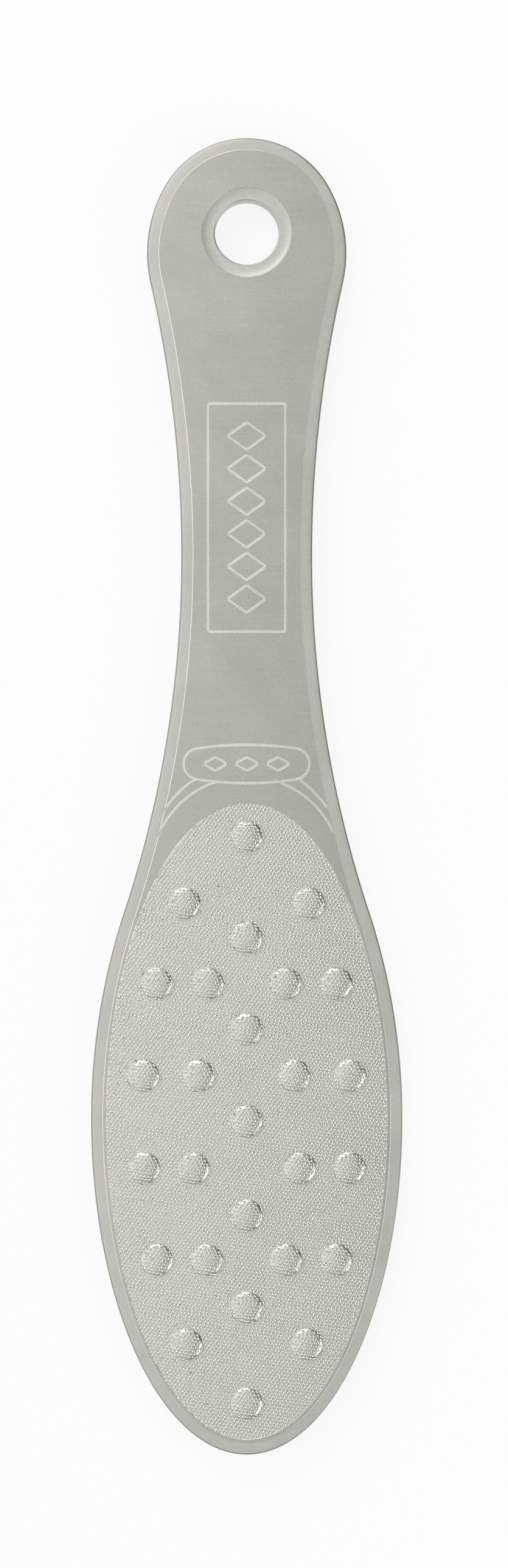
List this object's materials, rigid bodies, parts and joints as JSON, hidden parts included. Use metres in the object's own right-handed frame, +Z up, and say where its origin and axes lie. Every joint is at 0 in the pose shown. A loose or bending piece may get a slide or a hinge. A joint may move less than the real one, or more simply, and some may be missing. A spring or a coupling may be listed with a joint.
{
  "type": "foot file",
  "caption": "Flat paddle-shaped metal foot file with two abrasive faces: crowned oval head with pressed domes, slim waisted handle and a dished hanging hole.",
  "frame": {"origin": "under the middle of the file's length and width, on the surface that it lies on, at the lowest domes of the fine face", "axes": "+Y along the file towards the handle's end, +X across it, +Z up out of the coarse face"},
  "size_m": [0.0568, 0.24, 0.0063],
  "materials": {
    "satin_metal": "satin, lightly brushed across",
    "moulded_core": "moulded, matt",
    "bond_film": "adhesive sheet"
  },
  "bodies": {
    "root": {"coarse_face_plate": "satin_metal", "coarse_bond_film": "bond_film", "core": "moulded_core", "fine_bond_film": "bond_film", "fine_face_plate": "satin_metal"}
  },
  "joints": []
}
